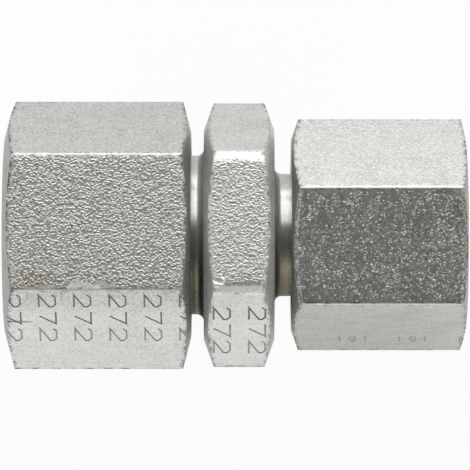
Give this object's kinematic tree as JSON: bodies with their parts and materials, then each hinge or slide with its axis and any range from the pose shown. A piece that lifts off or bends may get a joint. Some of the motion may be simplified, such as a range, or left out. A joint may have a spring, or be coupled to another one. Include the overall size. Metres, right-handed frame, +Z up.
{
  "type": "straight threaded connector with swivel nuts",
  "caption": "Straight reducing pipe connector: a hexagon body with a nose cone at each end, and a larger and a smaller hexagon swivel nut with inside threads.",
  "frame": {"origin": "on the fitting's axis, half way between the mouths of the two nuts", "axes": "+X along the axis towards the small nut, +Z up, with a flat of the body and of the large nut facing down"},
  "size_m": [0.0432, 0.0254, 0.022],
  "materials": {
    "body_zinc": "zinc-plated drawn hexagon bar, satin, grainy flats and turned chamfers",
    "large_nut_zinc": "zinc-plated drawn hexagon bar, satin, grainy flats and turned chamfers",
    "small_nut_zinc": "zinc-plated drawn hexagon bar, satin, grainy flats and turned chamfers",
    "spring_wire": "drawn spring wire, smooth"
  },
  "bodies": {
    "connector_body": {"adaptor_body": "body_zinc", "large_retaining_wire": "spring_wire", "small_retaining_wire": "spring_wire"},
    "large_nut": {"large_swivel_nut": "large_nut_zinc"},
    "small_nut": {"small_swivel_nut": "small_nut_zinc"}
  },
  "joints": [
    {"name": "large_nut_spin", "type": "hinge", "parent": "connector_body", "child": "large_nut", "pos_m": [-0.00645, 0, 0], "axis": [1, 0, 0], "continuous": true},
    {"name": "small_nut_spin", "type": "hinge", "parent": "connector_body", "child": "small_nut", "pos_m": [0.00745, 0, 0], "axis": [1, 0, 0], "continuous": true}
  ]
}
